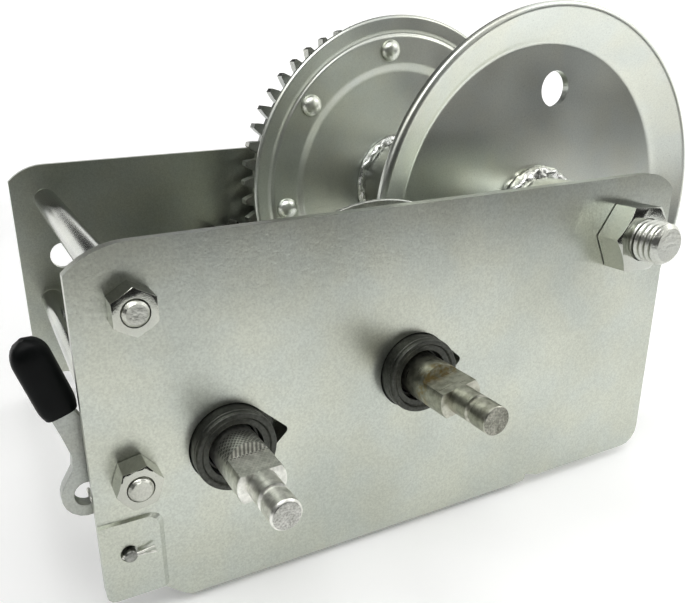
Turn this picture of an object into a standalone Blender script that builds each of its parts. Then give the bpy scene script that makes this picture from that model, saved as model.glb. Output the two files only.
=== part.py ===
"""Two-speed boat trailer winch, without its crank handle.

+X runs along the side plates, -Y is the cranking side, +Z is up. The origin is the centre of the
frame's underside. Lengths below are in millimetres and become metres through MM.
"""

import math

import bmesh
import bpy
from mathutils import Vector
from mathutils.geometry import tessellate_polygon

MM = 0.001

# Frame: a channel bent from one sheet
PLATE_LENGTH = 236.0
PLATE_HEIGHT = 127.0
SHEET = 4.0
DEPTH = 194.0
BEND_RADIUS = 7.5
FLOOR_LEFT = -95.0
FLOOR_RIGHT = 54.0
FLOOR_SLANT = 1.15
RELIEF_START = 34.0
RELIEF_END = 64.5
LEFT_FOOT = 12.0
RIGHT_FOOT = 5.5
FRONT = -DEPTH / 2
BACK = DEPTH / 2
FIT = 0.3

# Shaft, bolt and pin centres, as (x, z)
REEL_AXIS = (92.9, 104.4)
UPPER_TIE = (-101.3, 109.0)
LOWER_TIE = (-105.1, 54.9)
ANCHOR_PIN = (-109.5, 28.5)
BACK_HOLE = (-96.0, 78.5)
MOUNTING_HOLES = (-72.0, -24.0, 24.0)
MOUNTING_HOLE_RADIUS = 5.6

# Gear train: reel gear and high pinion at the back, middle gear and low pinion at the front
REEL_TEETH = 52
HIGH_PINION_TEETH = 11
MIDDLE_TEETH = 33
LOW_PINION_TEETH = 13
REEL_MODULE = 3.279
MIDDLE_MODULE = 3.081
HIGH_BEARING = math.radians(200.9)
LOW_BEARING = math.radians(188.4)
REEL_TOOTH = math.radians(176.9)
BACKLASH = 0.4
ADDENDUM = 0.94
TOOTH_STEPS = 16

# Distances behind the front plate's outer face
RATCHET_FACE = 8.4
RATCHET_WIDTH = 5.0
MIDDLE_FACE = 19.8
MIDDLE_WIDTH = 6.0
SHROUD_WIDTH = 2.0
LOW_PINION_FACE = 17.8
LOW_PINION_WIDTH = 8.0
FRONT_RIM = 38.9
FRONT_DISC = 47.1
BACK_DISC = 154.7
REEL_GEAR_FACE = 176.6
REEL_GEAR_WIDTH = 5.6
HIGH_PINION_FACE = 174.2
HIGH_PINION_WIDTH = 10.4
HUB_ENDS = (5.2, 188.8)

# Reel
FLANGE_SHEET = 3.0
FRONT_FLANGE_RADIUS = 88.0
FRONT_DISC_RADIUS = 72.3
BACK_FLANGE_RADIUS = 91.0
DRUM_RADIUS = 24.0
HUB_RADIUS = 17.0
HUB_BORE = 14.5
BUSH_LENGTH = 22.0
AXLE_SLEEVE_RADIUS = 11.0
GEAR_WEB = 3.6
GEAR_WALL = 2.6
GEAR_WALL_RADIUS = 81.0
SHROUD_RADIUS = 56.5
RIVET_CIRCLE = 73.0
RIVET_COUNT = 8
RIVET_START = math.radians(5.9)
RIVET_RADIUS = 3.2
RIVET_HEAD = 5.7
FLANGE_HOLE = (5.6, 53.6)
FLANGE_HOLE_RADIUS = 7.5

# Shafts and bushings
SHAFT_RADIUS = 7.94
FLAT_OFFSET = 4.5
LEDGE = 15.0
SHOULDER = 25.8
TIP = 42.4
PIN_RADIUS = 4.9
GROOVE_RADIUS = 4.2
GROOVE = 34.5
GROOVE_WIDTH = 1.6
SHAFT_END = 3.4
BUSHING_RADIUS = 13.6
BUSHING_BORE = 8.3
BUSHING_NOSE = 6.3
PLATE_HOLE = 14.05
NOTCH_REACH = 20.0

# Bolts
TIE_BOLT_RADIUS = 3.97
TIE_TUBE_RADIUS = 5.8
TIE_NUT_FLATS = 12.7
TIE_NUT_HEIGHT = 8.2
AXLE_RADIUS = 7.94
AXLE_NUT_FLATS = 24.2
AXLE_NUT_HEIGHT = 9.9
AXLE_REACH = 20.3

# Ratchet and pawl
RATCHET_TEETH = 12
RATCHET_TIP = 18.5
RATCHET_ROOT = 14.4
PAWL_SWING = math.radians(12.0)
PAWL_BORE = 6.15
PAWL_FACE = 8.6
PAWL_WIDTH = 4.4
SPRING_EYE = (-118.5, 47.2)
GRIP_FOOT = (-122.6, 75.9)
GRIP_LEAN = math.radians(107.6)
GRIP_LENGTH = 25.5
GRIP_WIDTH = 11.6
BLADE = 7.0
BLADE_REACH = 16.0
GRIP_FRONT = 6.0
GRIP_BACK = 15.5
SPRING_WIRE = 0.6
SPRING_COIL = 2.6


def polar(centre, radius, angle):
    """The point (x, z) at a radius and angle about a centre."""
    return (centre[0] + radius * math.cos(angle), centre[1] + radius * math.sin(angle))


HIGH_AXIS = polar(
    REEL_AXIS, REEL_MODULE * (REEL_TEETH + HIGH_PINION_TEETH) / 2, HIGH_BEARING
)
LOW_AXIS = polar(
    HIGH_AXIS, MIDDLE_MODULE * (MIDDLE_TEETH + LOW_PINION_TEETH) / 2, LOW_BEARING
)


def metal(name, colour, roughness, metallic=1.0):
    """A Principled material of one colour."""
    material = bpy.data.materials.new(name)
    material.use_nodes = True
    shader = material.node_tree.nodes["Principled BSDF"]
    shader.inputs["Base Color"].default_value = (*colour, 1.0)
    shader.inputs["Roughness"].default_value = roughness
    shader.inputs["Metallic"].default_value = metallic
    return material


# ---------------------------------------------------------------- shape helpers


def finish_mesh(name, shape, material, parent=None, helper=False):
    """Turns a bmesh in millimetres of the model's frame into an object placed under its parent."""
    bmesh.ops.recalc_face_normals(shape, faces=shape.faces)
    origin = parent.location.copy() if parent else Vector()
    for vertex in shape.verts:
        vertex.co = vertex.co * MM - origin
    mesh = bpy.data.meshes.new(name)
    shape.to_mesh(mesh)
    shape.free()
    mesh.shade_smooth()
    mesh.set_sharp_from_angle(angle=math.radians(30))
    piece = bpy.data.objects.new(name, mesh)
    bpy.context.scene.collection.objects.link(piece)
    piece.parent = parent
    if material:
        mesh.materials.append(material)
    if helper:
        piece.hide_render = True
        piece.display_type = "WIRE"
    return piece


def circle_points(centre, radius, count, start=0.0):
    """Points round a circle, anticlockwise seen from the front."""
    return [polar(centre, radius, start + 2 * math.pi * k / count) for k in range(count)]


def arc_points(centre, radius, start, end, count):
    """Points along an arc, its two ends among them."""
    return [polar(centre, radius, start + (end - start) * k / (count - 1)) for k in range(count)]


def slab(outlines, near, far):
    """A plate between two depths. The first outline is its edge, and the others are holes."""
    shape = bmesh.new()
    sides = [
        [[shape.verts.new((x, depth, z)) for x, z in outline] for outline in outlines]
        for depth in (near, far)
    ]
    loops = [[Vector((x, z, 0)) for x, z in outline] for outline in outlines]
    triangles = tessellate_polygon(loops)
    for side in sides:
        corners = [vertex for loop in side for vertex in loop]
        for a, b, c in triangles:
            shape.faces.new((corners[a], corners[b], corners[c]))
    for front, rear in zip(*sides):
        for k in range(len(front)):
            n = (k + 1) % len(front)
            shape.faces.new((front[k], front[n], rear[n], rear[k]))
    return shape


def turned(centre, profile, segments, hollow=False):
    """A solid turned about an axis along Y. The profile lists (depth, radius).

    A hollow profile is a closed loop that stays off the axis. Any other one runs from end to end
    and gets a flat cap at each end.
    """
    shape = bmesh.new()
    rings = [
        [
            shape.verts.new((x, depth, z))
            for x, z in circle_points(centre, radius, segments)
        ]
        for depth, radius in profile
    ]
    pairs = list(zip(rings, rings[1:]))
    if hollow:
        pairs.append((rings[-1], rings[0]))
    else:
        shape.faces.new(rings[0])
        shape.faces.new(rings[-1])
    for first, second in pairs:
        for k in range(segments):
            n = (k + 1) % segments
            shape.faces.new((first[k], first[n], second[n], second[k]))
    return shape


def boolean(piece, other, operation):
    modifier = piece.modifiers.new(operation.lower(), "BOOLEAN")
    modifier.operation = operation
    modifier.object = other


def helper(name, shape, parent=None):
    return finish_mesh(name, shape, None, parent, helper=True)


def depth(behind_front):
    """Depth in the model's frame of a plane that far behind the front plate's outer face."""
    return FRONT + behind_front


# ---------------------------------------------------------------- frame


def left_toe():
    """The small round at the plate's lower left corner."""
    centre = (-PLATE_LENGTH / 2 + 3, LEFT_FOOT + 3)
    return arc_points(centre, 3, math.radians(180), math.radians(270), 4)


def plate_outline():
    """One side plate: arched top corners, a raised left foot and a short right foot."""
    left = -PLATE_LENGTH / 2
    right = PLATE_LENGTH / 2
    top_left = arc_points(
        (left + 18, PLATE_HEIGHT - 26), 26, math.radians(90), math.radians(134), 7
    )
    top_right = arc_points(
        (right - 15.2, PLATE_HEIGHT - 20), 20, math.radians(40.5), math.radians(90), 7
    )
    foot = arc_points(
        (right - 8, RIGHT_FOOT + 8), 8, math.radians(-90), math.radians(0), 5
    )
    relief = [(FLOOR_LEFT - 8, LEFT_FOOT), (FLOOR_LEFT - 4, LEFT_FOOT - 1.1)]
    return (
        left_toe()
        + relief
        + [(FLOOR_LEFT, BEND_RADIUS), (FLOOR_RIGHT, BEND_RADIUS), (FLOOR_RIGHT + 6, RIGHT_FOOT)]
        + foot
        + top_right
        + top_left
    )


def bushing_hole(centre, notch):
    """A bushing's hole, with a pointed notch towards the reel that stops the bushing turning."""
    if not notch:
        return circle_points(centre, PLATE_HOLE, 40)
    tip_round = 1.6
    tip = (centre[0] + NOTCH_REACH - tip_round, centre[1])
    spread = math.acos((PLATE_HOLE - tip_round) / (tip[0] - centre[0]))
    body = arc_points(centre, PLATE_HOLE, spread, 2 * math.pi - spread, 34)
    return body + arc_points(tip, tip_round, -spread, spread, 5)


def plate(front):
    """A side plate with its holes."""
    holes = [
        bushing_hole(HIGH_AXIS, front),
        bushing_hole(LOW_AXIS, front),
        circle_points(REEL_AXIS, AXLE_RADIUS + FIT + 0.1, 24),
        circle_points(UPPER_TIE, TIE_BOLT_RADIUS + FIT, 16),
        circle_points(LOWER_TIE, TIE_BOLT_RADIUS + FIT, 16),
    ]
    if front:
        holes.append(circle_points(ANCHOR_PIN, 2.9, 14))
    else:
        holes.append(circle_points(BACK_HOLE, 7.0, 20))
    near = FRONT if front else BACK - SHEET
    return slab([plate_outline(), *holes], near, near + SHEET)


def channel_section():
    """The floor and its two bends, as (y, z) points of a closed section."""
    inner = BEND_RADIUS - SHEET
    leg = BEND_RADIUS + 2
    front_centre = (FRONT + BEND_RADIUS, BEND_RADIUS)
    back_centre = (BACK - BEND_RADIUS, BEND_RADIUS)
    quarter = math.pi / 2
    outside = arc_points(front_centre, BEND_RADIUS, -2 * quarter, -quarter, 6) + arc_points(
        back_centre, BEND_RADIUS, -quarter, 0, 6
    )
    inside = arc_points(back_centre, inner, 0, -quarter, 6) + arc_points(
        front_centre, inner, -quarter, -2 * quarter, 6
    )
    return (
        [(FRONT, leg)]
        + outside
        + [(BACK, leg), (BACK - SHEET, leg)]
        + inside
        + [(FRONT + SHEET, leg)]
    )


def floor_shape():
    """The channel's floor, run along X from a slanted left end to a square right end."""
    shape = bmesh.new()
    section = channel_section()
    slanted = [
        shape.verts.new((FLOOR_LEFT + FLOOR_SLANT * (BEND_RADIUS - z), y, z))
        for y, z in section
    ]
    square = [shape.verts.new((FLOOR_RIGHT, y, z)) for y, z in section]
    ends = [slanted, square]
    for end in ends:
        shape.faces.new(end)
    for k in range(len(section)):
        n = (k + 1) % len(section)
        shape.faces.new((ends[0][k], ends[0][n], ends[1][n], ends[1][k]))
    return shape


def corner_pad():
    """The pad pressed out of the front plate's lower left corner, sloped along two sides."""
    left = -PLATE_LENGTH / 2
    rise = 1.2
    side_slope = 1.6
    top_slope = 0.5
    shape = bmesh.new()
    rings = []
    for y, lift in ((FRONT + 1, 0), (FRONT, 0), (FRONT - rise, 1)):
        right = left + 20.2 - side_slope * lift
        top = 40.3 - top_slope * lift
        corner = arc_points((right - 4, top - 4), 4, 0, math.pi / 2, 5)
        outline = [*left_toe(), (right, LEFT_FOOT), *corner, (left, top)]
        rings.append([shape.verts.new((x, y, z)) for x, z in outline])
    for first, second in zip(rings, rings[1:]):
        for k in range(len(first)):
            n = (k + 1) % len(first)
            shape.faces.new((first[k], first[n], second[n], second[k]))
    shape.faces.new(rings[0])
    shape.faces.new(rings[-1])
    return shape


def bend_relief(low, high):
    """A wedge that eases one bend up to the plate's right foot, between two depths."""
    wedge = [(RELIEF_START, -1), (RELIEF_END, -1), (RELIEF_END, RIGHT_FOOT), (RELIEF_START, 0)]
    return slab([wedge], low, high)


def build_frame(material):
    frame = finish_mesh("frame_channel", plate(front=True), material)
    boolean(frame, helper("back_plate_stock", plate(front=False)), "UNION")
    boolean(frame, helper("floor_stock", floor_shape()), "UNION")
    boolean(frame, helper("corner_pad_stock", corner_pad()), "UNION")
    front_relief = helper("front_relief_cutter", bend_relief(FRONT - 2, FRONT + BEND_RADIUS))
    boolean(frame, front_relief, "DIFFERENCE")
    back_relief = helper("back_relief_cutter", bend_relief(BACK - BEND_RADIUS, BACK + 2))
    boolean(frame, back_relief, "DIFFERENCE")
    pin_hole = turned(ANCHOR_PIN, [(FRONT - 3, 2.9), (FRONT + SHEET + 1, 2.9)], 14)
    boolean(frame, helper("anchor_pin_drill", pin_hole), "DIFFERENCE")
    for number, x in enumerate(MOUNTING_HOLES):
        drill = vertical_drill(x, 0.0, MOUNTING_HOLE_RADIUS)
        boolean(frame, helper(f"mounting_hole_drill_{number + 1}", drill), "DIFFERENCE")
    return frame


def vertical_drill(x, y, radius):
    """A round cutter that stands through the floor."""
    shape = bmesh.new()
    bmesh.ops.create_cone(
        shape, cap_ends=True, segments=24, radius1=radius, radius2=radius, depth=SHEET * 3
    )
    bmesh.ops.translate(shape, vec=(x, y, SHEET / 2), verts=shape.verts)
    return shape


# ---------------------------------------------------------------- bolts, nuts and tubes


def hexagon(centre, flats, turn):
    return circle_points(centre, flats / math.sqrt(3), 6, turn)


def chamfer_bell(name, centre, flats, near, far, outward):
    """The turned shape whose overlap with a hexagon leaves its corners rounded at one end."""
    inscribed = flats / 2 * 0.98
    corner = flats / math.sqrt(3) + 0.2
    fall = (corner - inscribed) * 0.5
    ends = [(near, corner), (far - fall, corner), (far, inscribed)]
    if not outward:
        ends = [(near, inscribed), (near + fall, corner), (far, corner)]
    return helper(name, turned(centre, ends, 32))


def nut(name, centre, flats, bore, near, far, turn, material):
    """A hexagon nut with its outer corners chamfered."""
    outlines = [hexagon(centre, flats, turn), circle_points(centre, bore, 20)]
    piece = finish_mesh(name, slab(outlines, near, far), material)
    bell = chamfer_bell(f"{name}_bell", centre, flats, near, far, outward=False)
    boolean(piece, bell, "INTERSECT")
    return piece


def bolt(name, centre, radius, flats, head, near, turn, material):
    """A bolt whose chamfered end is at near and whose head stands behind the back plate."""
    seat = BACK + FIT
    chamfer = radius * 0.2
    shank = [(near, radius - chamfer), (near + chamfer, radius), (seat + head / 2, radius)]
    piece = finish_mesh(name, turned(centre, shank, 20), material)
    block_head = slab([hexagon(centre, flats, turn)], seat, seat + head)
    hexagon_head = helper(f"{name}_head", block_head)
    bell = chamfer_bell(f"{name}_bell", centre, flats, seat, seat + head, outward=True)
    boolean(hexagon_head, bell, "INTERSECT")
    boolean(piece, hexagon_head, "UNION")
    return piece


def tube(name, centre, outer, bore, near, far, segments, material, parent=None):
    loop = [(near, bore), (near, outer), (far, outer), (far, bore)]
    return finish_mesh(name, turned(centre, loop, segments, hollow=True), material, parent)


def build_bolts(zinc):
    inside = (FRONT + SHEET + FIT, BACK - SHEET - FIT)
    nut_near = FRONT - FIT - TIE_NUT_HEIGHT
    turns = {"upper": math.radians(30.8), "lower": math.radians(10.0)}
    for name, centre in (("upper", UPPER_TIE), ("lower", LOWER_TIE)):
        turn = turns[name]
        bolt(
            f"{name}_tie_bolt", centre, TIE_BOLT_RADIUS, TIE_NUT_FLATS, 5.3,
            nut_near - 1.4, turn, zinc,
        )
        nut(
            f"{name}_tie_nut", centre, TIE_NUT_FLATS, TIE_BOLT_RADIUS + FIT,
            nut_near, FRONT - FIT, turn, zinc,
        )
        tube(
            f"{name}_tie_tube", centre, TIE_TUBE_RADIUS, TIE_BOLT_RADIUS + FIT,
            *inside, 24, zinc,
        )
    bolt(
        "reel_axle_bolt", REEL_AXIS, AXLE_RADIUS, AXLE_NUT_FLATS, 10.0,
        FRONT - AXLE_REACH, math.radians(-4.8), zinc,
    )
    nut(
        "reel_axle_nut", REEL_AXIS, AXLE_NUT_FLATS, AXLE_RADIUS + FIT,
        FRONT - FIT - AXLE_NUT_HEIGHT, FRONT - FIT, math.radians(-4.8), zinc,
    )
    tube(
        "reel_axle_sleeve", REEL_AXIS, AXLE_SLEEVE_RADIUS, AXLE_RADIUS + FIT,
        *inside, 32, zinc,
    )


# ---------------------------------------------------------------- gears


def involute_outline(centre, module, teeth, turn):
    """A spur gear's outline with involute flanks at a 20 degree pressure angle.

    A tooth is centred on the direction turn.
    """
    pitch = module * teeth / 2
    base = pitch * math.cos(math.radians(20))
    tip = pitch + module * ADDENDUM
    root = pitch - module * 1.2
    half = math.pi / (2 * teeth) - BACKLASH / 2 / pitch

    def involute(radius):
        pressure = math.acos(min(1.0, base / radius))
        return math.tan(pressure) - pressure

    start = max(base, root) + 0.01
    flank = [start + (tip - start) * k / 2 for k in range(3)]
    half_widths = [(r, half + involute(pitch) - involute(r)) for r in flank]
    points = []
    for tooth in range(teeth):
        middle = turn + 2 * math.pi * tooth / teeth
        space = math.pi / teeth
        foot = half_widths[0][1] + (space - half_widths[0][1]) * 0.2
        points.append(polar(centre, root, middle - foot))
        points += [polar(centre, r, middle - width) for r, width in half_widths]
        points += [polar(centre, r, middle + width) for r, width in reversed(half_widths)]
        points.append(polar(centre, root, middle + foot))
    return points


def carved_pinion(centre, teeth, tip, mate_centre, mate_outline, mate_teeth):
    """A pinion's outline, made as a gear shaper makes it: the mate's teeth roll round the blank
    and carve away all that they pass through, and a small clearance more."""
    pitch_angle = 2 * math.pi / teeth
    rolls = 48
    clearance = 0.12
    reach = [tip] * TOOTH_STEPS
    edge = []
    near_mate = [
        (a, b)
        for a, b in zip(mate_outline, mate_outline[1:] + mate_outline[:1])
        if math.dist(a, centre) < tip + 12
    ]
    for a, b in near_mate:
        count = max(2, int(math.dist(a, b) / 0.15))
        edge += [
            (a[0] + (b[0] - a[0]) * k / count, a[1] + (b[1] - a[1]) * k / count)
            for k in range(count)
        ]
    span = 2 * math.pi / mate_teeth
    for roll in range(-rolls, rolls):
        mate_turn = span * roll / rolls
        own_turn = -mate_turn * mate_teeth / teeth
        cosine, sine = math.cos(mate_turn), math.sin(mate_turn)
        for x, z in edge:
            dx, dz = x - mate_centre[0], z - mate_centre[1]
            px = mate_centre[0] + dx * cosine - dz * sine - centre[0]
            pz = mate_centre[1] + dx * sine + dz * cosine - centre[1]
            radius = math.hypot(px, pz)
            if radius < tip + clearance:
                angle = (math.atan2(pz, px) - own_turn) % pitch_angle
                step = int(angle / pitch_angle * TOOTH_STEPS) % TOOTH_STEPS
                reach[step] = min(reach[step], radius - clearance)
    eased = [min(reach[k - 1], reach[k], reach[(k + 1) % TOOTH_STEPS]) for k in range(TOOTH_STEPS)]
    return [
        polar(centre, eased[step], tooth * pitch_angle + (step + 0.5) * pitch_angle / TOOTH_STEPS)
        for tooth in range(teeth)
        for step in range(TOOTH_STEPS)
    ]


def build_high_train(zinc, dark, reel, high_shaft):
    """The reel gear, the pinion that it meshes with, and the shaft and gear of the second stage."""
    reel_outline = involute_outline(REEL_AXIS, REEL_MODULE, REEL_TEETH, REEL_TOOTH)
    build_reel_gear(reel_outline, zinc, reel)
    pinion_tip = REEL_MODULE * (HIGH_PINION_TEETH / 2 + ADDENDUM)
    pinion = carved_pinion(
        HIGH_AXIS, HIGH_PINION_TEETH, pinion_tip, REEL_AXIS, reel_outline, REEL_TEETH
    )
    bore = circle_points(HIGH_AXIS, SHAFT_RADIUS + FIT, 24)
    near = depth(HIGH_PINION_FACE)
    finish_mesh(
        "high_pinion", slab([pinion, bore], near, near + HIGH_PINION_WIDTH), dark, high_shaft
    )


def dished_gear(centre, outline, near, far, dish):
    """A toothed ring whose hole is lined by a turned dish, from its near face to its far one."""
    shape = bmesh.new()
    edges = [[shape.verts.new((x, y, z)) for x, z in outline] for y in (near, far)]
    rings = [
        [shape.verts.new((x, y, z)) for x, z in circle_points(centre, radius, 60)]
        for y, radius in dish
    ]
    for edge, ring in ((edges[0], rings[0]), (edges[1], rings[-1])):
        corners = edge + ring
        loops = [[Vector((v.co.x, v.co.z, 0)) for v in loop] for loop in (edge, ring)]
        for a, b, c in tessellate_polygon(loops):
            shape.faces.new((corners[a], corners[b], corners[c]))
    for first, second in [edges, *zip(rings, rings[1:])]:
        for k in range(len(first)):
            n = (k + 1) % len(first)
            shape.faces.new((first[k], first[n], second[n], second[k]))
    return shape


def build_reel_gear(outline, material, parent):
    """The toothed ring and the deep dished web that carries it on the reel's back flange."""
    face = depth(REEL_GEAR_FACE)
    rim_inner = GEAR_WALL_RADIUS - GEAR_WALL
    web_face = depth(BACK_DISC + FLANGE_SHEET + FIT)
    dish = [
        (face, GEAR_WALL_RADIUS),
        (web_face + 2, GEAR_WALL_RADIUS),
        (web_face, GEAR_WALL_RADIUS - 2),
        (web_face, HUB_RADIUS + FIT),
        (web_face + GEAR_WEB, HUB_RADIUS + FIT),
        (web_face + GEAR_WEB, rim_inner),
        (face + REEL_GEAR_WIDTH, rim_inner),
    ]
    shape = dished_gear(REEL_AXIS, outline, face, face + REEL_GEAR_WIDTH, dish)
    gear = finish_mesh("reel_gear", shape, material, parent)
    for number, centre in enumerate(rivet_centres()):
        drill = [(web_face - 2, RIVET_RADIUS + FIT), (web_face + GEAR_WEB + 2, RIVET_RADIUS + FIT)]
        cutter = helper(f"reel_gear_drill_{number + 1}", turned(centre, drill, 12), parent)
        boolean(gear, cutter, "DIFFERENCE")


def build_middle_train(zinc, dark, high_shaft, low_shaft):
    """The middle wheel on the high-speed shaft and the low-speed shaft's pinion and ratchet."""
    outline = involute_outline(HIGH_AXIS, MIDDLE_MODULE, MIDDLE_TEETH, LOW_BEARING)
    near = depth(MIDDLE_FACE)
    bore = circle_points(HIGH_AXIS, SHAFT_RADIUS + FIT, 24)
    finish_mesh("middle_gear", slab([outline, bore], near, near + MIDDLE_WIDTH), zinc, high_shaft)
    shroud = near + MIDDLE_WIDTH + FIT
    bore_radius = SHAFT_RADIUS + FIT
    tube(
        "middle_gear_shroud", HIGH_AXIS, SHROUD_RADIUS, bore_radius,
        shroud, shroud + SHROUD_WIDTH, 48, zinc, high_shaft,
    )
    hub = shroud + SHROUD_WIDTH + FIT
    tube("middle_gear_hub", HIGH_AXIS, 13.0, bore_radius, hub, hub + 8, 28, dark, high_shaft)
    tip = MIDDLE_MODULE * (LOW_PINION_TEETH / 2 + ADDENDUM)
    pinion = carved_pinion(LOW_AXIS, LOW_PINION_TEETH, tip, HIGH_AXIS, outline, MIDDLE_TEETH)
    low_bore = circle_points(LOW_AXIS, SHAFT_RADIUS + FIT, 24)
    near = depth(LOW_PINION_FACE)
    finish_mesh(
        "low_pinion", slab([pinion, low_bore], near, near + LOW_PINION_WIDTH), dark, low_shaft
    )
    near = depth(RATCHET_FACE)
    finish_mesh(
        "ratchet_wheel", slab([ratchet_outline(), low_bore], near, near + RATCHET_WIDTH),
        dark, low_shaft,
    )


def pawl_line():
    """The direction from the ratchet's centre to the pawl's pivot."""
    return math.atan2(LOWER_TIE[1] - LOW_AXIS[1], LOWER_TIE[0] - LOW_AXIS[0])


def ratchet_outline():
    """A ratchet wheel that holds both ways. One tooth points at the pawl's pivot."""
    points = []
    for tooth in range(RATCHET_TEETH):
        middle = pawl_line() + 2 * math.pi * tooth / RATCHET_TEETH
        for offset, radius in ((-9.5, RATCHET_ROOT), (-4.5, RATCHET_TIP), (4.5, RATCHET_TIP),
                               (9.5, RATCHET_ROOT)):
            points.append(polar(LOW_AXIS, radius, middle + math.radians(offset)))
    return points


# ---------------------------------------------------------------- reel


def rivet_centres():
    return circle_points(REEL_AXIS, RIVET_CIRCLE, RIVET_COUNT, RIVET_START)


def flange(name, profile, holes, material, parent):
    """A pressed flange with round holes, each given as (centre, radius)."""
    piece = finish_mesh(name, turned(REEL_AXIS, profile, 56, hollow=True), material, parent)
    depths = [depth_here for depth_here, _ in profile]
    for number, (centre, radius) in enumerate(holes):
        drill = turned(centre, [(min(depths) - 2, radius), (max(depths) + 2, radius)], 16)
        boolean(piece, helper(f"{name}_drill_{number + 1}", drill, parent), "DIFFERENCE")
    return piece


def build_reel(zinc, dark, parent):
    """Drum, flanges, weld beads, hub bushes and rivets. They turn as one on the axle sleeve."""
    front = depth(FRONT_DISC)
    rim = depth(FRONT_RIM)
    inner = HUB_RADIUS + FIT
    front_profile = [
        (front, inner),
        (front, FRONT_DISC_RADIUS),
        (front - 1.2, FRONT_DISC_RADIUS + 2.2),
        (rim + 1.0, FRONT_FLANGE_RADIUS - 1.6),
        (rim, FRONT_FLANGE_RADIUS - 0.8),
        (rim + 1.0, FRONT_FLANGE_RADIUS),
        (rim + 4.4, FRONT_FLANGE_RADIUS),
        (front + 1.2, FRONT_DISC_RADIUS + 4.2),
        (front + FLANGE_SHEET, FRONT_DISC_RADIUS + 1.2),
        (front + FLANGE_SHEET, inner),
    ]
    hole = (REEL_AXIS[0] + FLANGE_HOLE[0], REEL_AXIS[1] + FLANGE_HOLE[1])
    flange("front_flange", front_profile, [(hole, FLANGE_HOLE_RADIUS)], zinc, parent)
    back = depth(BACK_DISC)
    step = 1.4
    back_profile = [
        (back + step, inner),
        (back + step, 62.0),
        (back, 66.0),
        (back, 80.0),
        (back + 0.8, 81.5),
        (back, 84.0),
        (back, BACK_FLANGE_RADIUS - 0.6),
        (back + 0.8, BACK_FLANGE_RADIUS),
        (back + FLANGE_SHEET - 0.4, BACK_FLANGE_RADIUS),
        (back + FLANGE_SHEET, BACK_FLANGE_RADIUS - 0.6),
        (back + FLANGE_SHEET, inner),
    ]
    rivet_holes = [(centre, RIVET_RADIUS + FIT) for centre in rivet_centres()]
    flange("back_flange", back_profile, rivet_holes, zinc, parent)
    web_back = back + FLANGE_SHEET + FIT + GEAR_WEB
    hub_near, hub_far = (depth(end) for end in HUB_ENDS)
    tube("reel_hub", REEL_AXIS, HUB_RADIUS, HUB_BORE, hub_near, hub_far, 36, zinc, parent)
    drum = (front + FLANGE_SHEET + FIT, back + step - FIT)
    tube("drum_tube", REEL_AXIS, DRUM_RADIUS, inner, *drum, 40, zinc, parent)
    build_weld("front_outer_weld", front - FIT, HUB_RADIUS, -4.5, zinc, parent)
    build_weld("front_inner_weld", drum[0], DRUM_RADIUS, 4.0, zinc, parent)
    build_weld("back_inner_weld", drum[1], DRUM_RADIUS, -4.0, zinc, parent)
    for name, near in (("front", hub_near), ("back", hub_far - BUSH_LENGTH)):
        tube(
            f"{name}_reel_bush", REEL_AXIS, HUB_BORE - FIT, AXLE_SLEEVE_RADIUS + FIT,
            near, near + BUSH_LENGTH, 32, dark, parent,
        )
    for number, centre in enumerate(rivet_centres()):
        build_rivet(f"gear_rivet_{number + 1}", centre, back, web_back, zinc, parent)


def build_weld(name, root, tube_radius, leg, material, parent):
    """A fillet bead round a tube, from a plane at root along the tube by leg."""
    inner = tube_radius + FIT
    reach = abs(leg)
    bead = [
        (root, inner),
        (root, tube_radius + reach),
        (root + leg * 0.55, tube_radius + reach * 0.7),
        (root + leg, inner),
    ]
    finish_mesh(name, turned(REEL_AXIS, bead, 40, hollow=True), material, parent)


def build_rivet(name, centre, head_seat, tail_seat, material, parent):
    """A dome-headed rivet through the back flange and the reel gear's web."""
    rise = 3.6
    dome = [
        (head_seat - FIT - rise * math.sin(a), RIVET_HEAD * math.cos(a))
        for a in (math.radians(d) for d in (86, 62, 38, 16, 0))
    ]
    tail = [
        (head_seat - FIT, RIVET_RADIUS),
        (tail_seat + FIT, RIVET_RADIUS),
        (tail_seat + FIT, 4.0),
        (tail_seat + 1.6, 3.4),
        (tail_seat + 2.2, 1.6),
    ]
    finish_mesh(name, turned(centre, dome + tail, 14), material, parent)


# ---------------------------------------------------------------- input shafts


def build_input_shaft(name, axis, flat_turn, material, parent):
    """A crankshaft: double-D drive end, grooved pin, plain journal to the back plate."""
    shoulder = FRONT - SHOULDER
    groove = FRONT - GROOVE
    end = BACK + SHAFT_END
    profile = [
        (FRONT - TIP, PIN_RADIUS - 0.7),
        (FRONT - TIP + 0.7, PIN_RADIUS),
        (groove - GROOVE_WIDTH / 2, PIN_RADIUS),
        (groove - GROOVE_WIDTH / 2, GROOVE_RADIUS),
        (groove + GROOVE_WIDTH / 2, GROOVE_RADIUS),
        (groove + GROOVE_WIDTH / 2, PIN_RADIUS),
        (shoulder, PIN_RADIUS),
        (shoulder, SHAFT_RADIUS - 0.2),
        (shoulder + 0.2, SHAFT_RADIUS),
        (end - 2.6, SHAFT_RADIUS),
        (end - 2.6, SHAFT_RADIUS - 0.9),
        (end - 1.4, SHAFT_RADIUS - 0.9),
        (end - 1.4, SHAFT_RADIUS),
        (end - 0.6, SHAFT_RADIUS),
        (end, SHAFT_RADIUS - 0.6),
    ]
    shaft = finish_mesh(name, turned(axis, profile, 24), material, parent)
    ledge = FRONT - LEDGE
    for side in (1, -1):
        corners = []
        for across, up in ((-12, FLAT_OFFSET), (12, FLAT_OFFSET), (12, 12), (-12, 12)):
            radius = math.hypot(across, up)
            angle = math.atan2(side * up, across) + flat_turn
            corners.append(polar(axis, radius, angle))
        cutter = slab([corners], shoulder - 0.05, ledge)
        label = "upper" if side > 0 else "lower"
        boolean(shaft, helper(f"{name}_{label}_flat", cutter, parent), "DIFFERENCE")


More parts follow.
